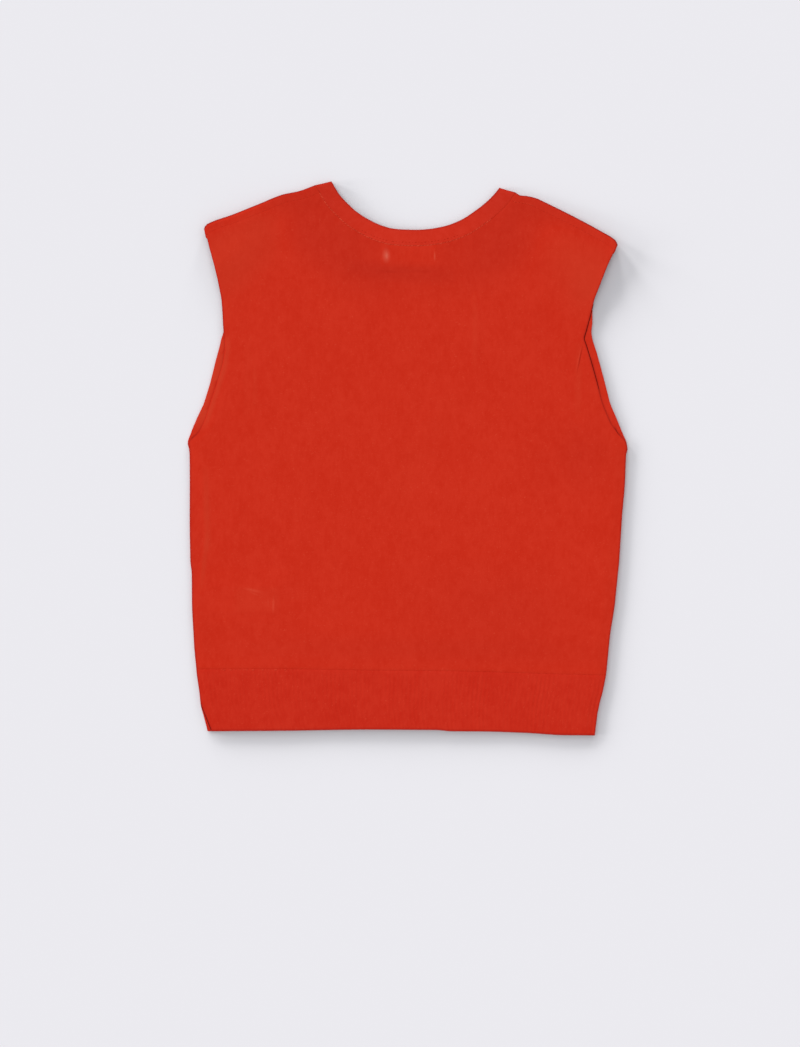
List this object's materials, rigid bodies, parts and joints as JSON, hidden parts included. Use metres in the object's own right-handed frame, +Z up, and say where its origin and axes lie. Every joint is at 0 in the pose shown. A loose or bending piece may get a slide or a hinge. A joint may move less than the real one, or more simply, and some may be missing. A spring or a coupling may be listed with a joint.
{
  "type": "knitted sweater vest",
  "caption": "Fine-knit sleeveless sweater with ribbed hem, round neckband and shoulder pads, laid flat with its back up.",
  "frame": {"origin": "middle of the garment's outline, on the surface that it lies on", "axes": "+X across the garment to the right as seen from above, +Y from the hem to the shoulders, +Z up from the surface"},
  "size_m": [0.4484, 0.5632, 0.0081],
  "materials": {
    "knit": "matte fine-gauge jersey knit",
    "band": "matte double-knit band",
    "rib": "matte fine rib knit",
    "pad": "jersey-covered foam pad",
    "label": "soft woven tape, blank"
  },
  "bodies": {
    "root": {"back": "knit", "front": "knit", "neckband": "band", "hem_back": "rib", "hem_front": "rib", "shoulder_pad_left": "pad", "shoulder_pad_right": "pad", "neck_label": "label", "care_label": "label"}
  },
  "joints": []
}
